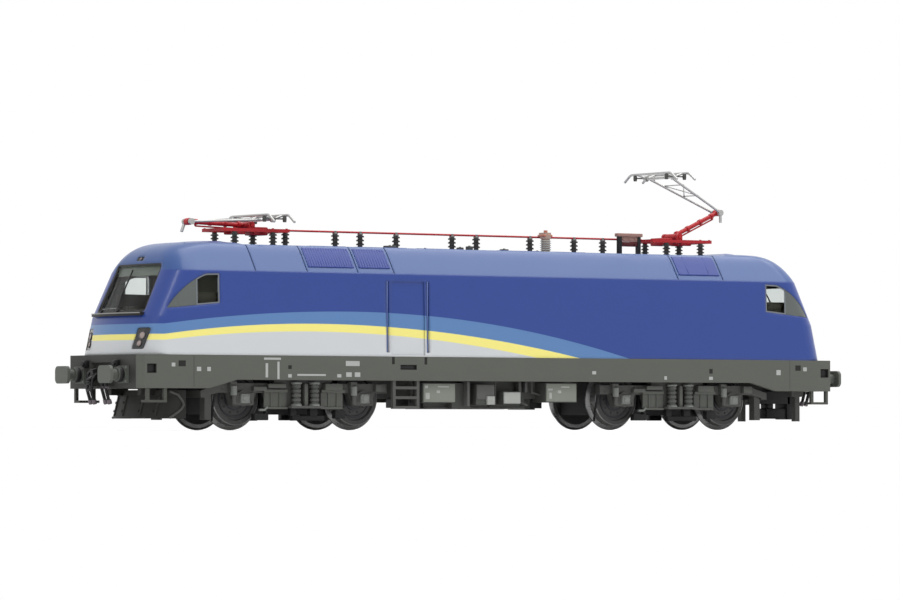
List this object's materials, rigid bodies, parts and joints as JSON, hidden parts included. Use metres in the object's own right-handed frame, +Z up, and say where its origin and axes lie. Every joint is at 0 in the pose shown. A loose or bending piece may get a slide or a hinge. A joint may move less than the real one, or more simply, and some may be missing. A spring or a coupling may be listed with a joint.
{
  "type": "model electric locomotive",
  "caption": "H0 scale model of a four-axle electric locomotive: domed cabs at both ends, swivelling bogies with rolling wheelsets, folding single-arm pantographs on the roof.",
  "frame": {"origin": "centre of the footprint, on the floor that the wheel flanges stand on", "axes": "+X along the locomotive toward the end with the raised pantograph, +Y across it, +Z up"},
  "size_m": [0.2216, 0.0344, 0.0664],
  "materials": {
    "body_blue": "satin paint on moulded plastic",
    "window_glass": "tinted clear plastic",
    "lamp_glass": "clear plastic over dark reflectors",
    "sill_grey": "matte dark grey",
    "bogie_grey": "matte dark grey",
    "fitting_grey": "matte light grey",
    "black": "matte black",
    "interior_grey": "matte grey",
    "cast_metal": "blackened cast metal",
    "wheel_metal": "bright turned metal",
    "pantograph_red": "red paint",
    "pantograph_silver": "bare metal",
    "insulator_beige": "beige plastic"
  },
  "bodies": {
    "body": {"body_shell": "body_blue", "grab_rails": "fitting_grey", "windscreen_1": "window_glass", "windscreen_2": "window_glass", "side_windows_1": "window_glass", "side_windows_2": "window_glass", "lamps_1": "lamp_glass", "lamps_2": "lamp_glass", "front_ledge_1": "black", "front_ledge_2": "black", "cab_interior_1": "interior_grey", "cab_interior_2": "interior_grey", "chassis": "cast_metal", "motor": "cast_metal", "side_sill_left": "sill_grey", "side_sill_right": "sill_grey", "end_block_1": "sill_grey", "end_block_2": "sill_grey", "buffers_1": "fitting_grey", "buffers_2": "fitting_grey", "coupling_hook_1": "black", "coupling_hook_2": "black", "hoses_1": "black", "hoses_2": "black", "plough_1": "sill_grey", "coupler_pocket_2": "black", "guard_irons_2": "bogie_grey", "corner_steps": "sill_grey", "underfloor_cases": "bogie_grey", "door_ladders": "bogie_grey", "roof_insulators": "black", "roof_line": "pantograph_red", "breaker": "insulator_beige", "disconnector": "black", "pantograph_base_1": "pantograph_red", "pantograph_base_2": "pantograph_red"},
    "bogie_1": {"bogie_frame_1": "bogie_grey", "gear_case_1": "cast_metal", "suspension_1": "fitting_grey"},
    "bogie_2": {"bogie_frame_2": "bogie_grey", "gear_case_2": "cast_metal", "suspension_2": "fitting_grey"},
    "wheelset_1": {"wheelset_1": "wheel_metal"},
    "wheelset_2": {"wheelset_2": "wheel_metal"},
    "wheelset_3": {"wheelset_3": "wheel_metal"},
    "wheelset_4": {"wheelset_4": "wheel_metal"},
    "pantograph_1_lower": {"lower_arm_1": "pantograph_red"},
    "pantograph_1_upper": {"upper_arm_1": "pantograph_silver"},
    "pantograph_1_head": {"collector_head_1": "pantograph_silver"},
    "pantograph_2_lower": {"lower_arm_2": "pantograph_red"},
    "pantograph_2_upper": {"upper_arm_2": "pantograph_silver"},
    "pantograph_2_head": {"collector_head_2": "pantograph_silver"}
  },
  "joints": [
    {"name": "bogie_1_swivel", "type": "hinge", "parent": "body", "child": "bogie_1", "pos_m": [-0.0569, 0, 0.017], "axis": [0, 0, 1], "range_deg": [-9, 9]},
    {"name": "bogie_2_swivel", "type": "hinge", "parent": "body", "child": "bogie_2", "pos_m": [0.0569, 0, 0.017], "axis": [0, 0, 1], "range_deg": [-9, 9]},
    {"name": "wheelset_1_roll", "type": "hinge", "parent": "bogie_1", "child": "wheelset_1", "pos_m": [-0.07415, 0, 0.0077], "axis": [0, 1, 0], "continuous": true},
    {"name": "wheelset_2_roll", "type": "hinge", "parent": "bogie_1", "child": "wheelset_2", "pos_m": [-0.03965, 0, 0.0077], "axis": [0, 1, 0], "continuous": true},
    {"name": "wheelset_3_roll", "type": "hinge", "parent": "bogie_2", "child": "wheelset_3", "pos_m": [0.03965, 0, 0.0077], "axis": [0, 1, 0], "continuous": true},
    {"name": "wheelset_4_roll", "type": "hinge", "parent": "bogie_2", "child": "wheelset_4", "pos_m": [0.07415, 0, 0.0077], "axis": [0, 1, 0], "continuous": true},
    {"name": "pantograph_1_raise", "type": "hinge", "parent": "body", "child": "pantograph_1_lower", "pos_m": [-0.06525, 0, 0.0499], "axis": [0, 1, 0], "range_deg": [0, 43]},
    {"name": "pantograph_1_knee", "type": "hinge", "parent": "pantograph_1_lower", "child": "pantograph_1_upper", "pos_m": [-0.08134, 0, 0.05046], "axis": [0, 1, 0], "range_deg": [-87.77, 1]},
    {"name": "pantograph_1_head_tilt", "type": "hinge", "parent": "pantograph_1_upper", "child": "pantograph_1_head", "pos_m": [-0.06086, 0, 0.05128], "axis": [0, 1, 0], "range_deg": [-1, 44.77]},
    {"name": "pantograph_2_raise", "type": "hinge", "parent": "body", "child": "pantograph_2_lower", "pos_m": [0.06525, 0, 0.0499], "axis": [0, -1, 0], "range_deg": [-22.1, 20.9]},
    {"name": "pantograph_2_knee", "type": "hinge", "parent": "pantograph_2_lower", "child": "pantograph_2_upper", "pos_m": [0.07995, 0, 0.05647], "axis": [0, -1, 0], "range_deg": [-43.18, 45.6]},
    {"name": "pantograph_2_head_tilt", "type": "hinge", "parent": "pantograph_2_upper", "child": "pantograph_2_head", "pos_m": [0.06134, 0, 0.06507], "axis": [0, -1, 0], "range_deg": [-23.5, 22.28]}
  ],
  "couplings": [
    {"joint": "pantograph_1_knee", "follows": "pantograph_1_raise", "ratio": -2.018},
    {"joint": "pantograph_1_head_tilt", "follows": "pantograph_1_raise", "ratio": 1.018},
    {"joint": "pantograph_2_knee", "follows": "pantograph_2_raise", "ratio": -2.018},
    {"joint": "pantograph_2_head_tilt", "follows": "pantograph_2_raise", "ratio": 1.018}
  ]
}
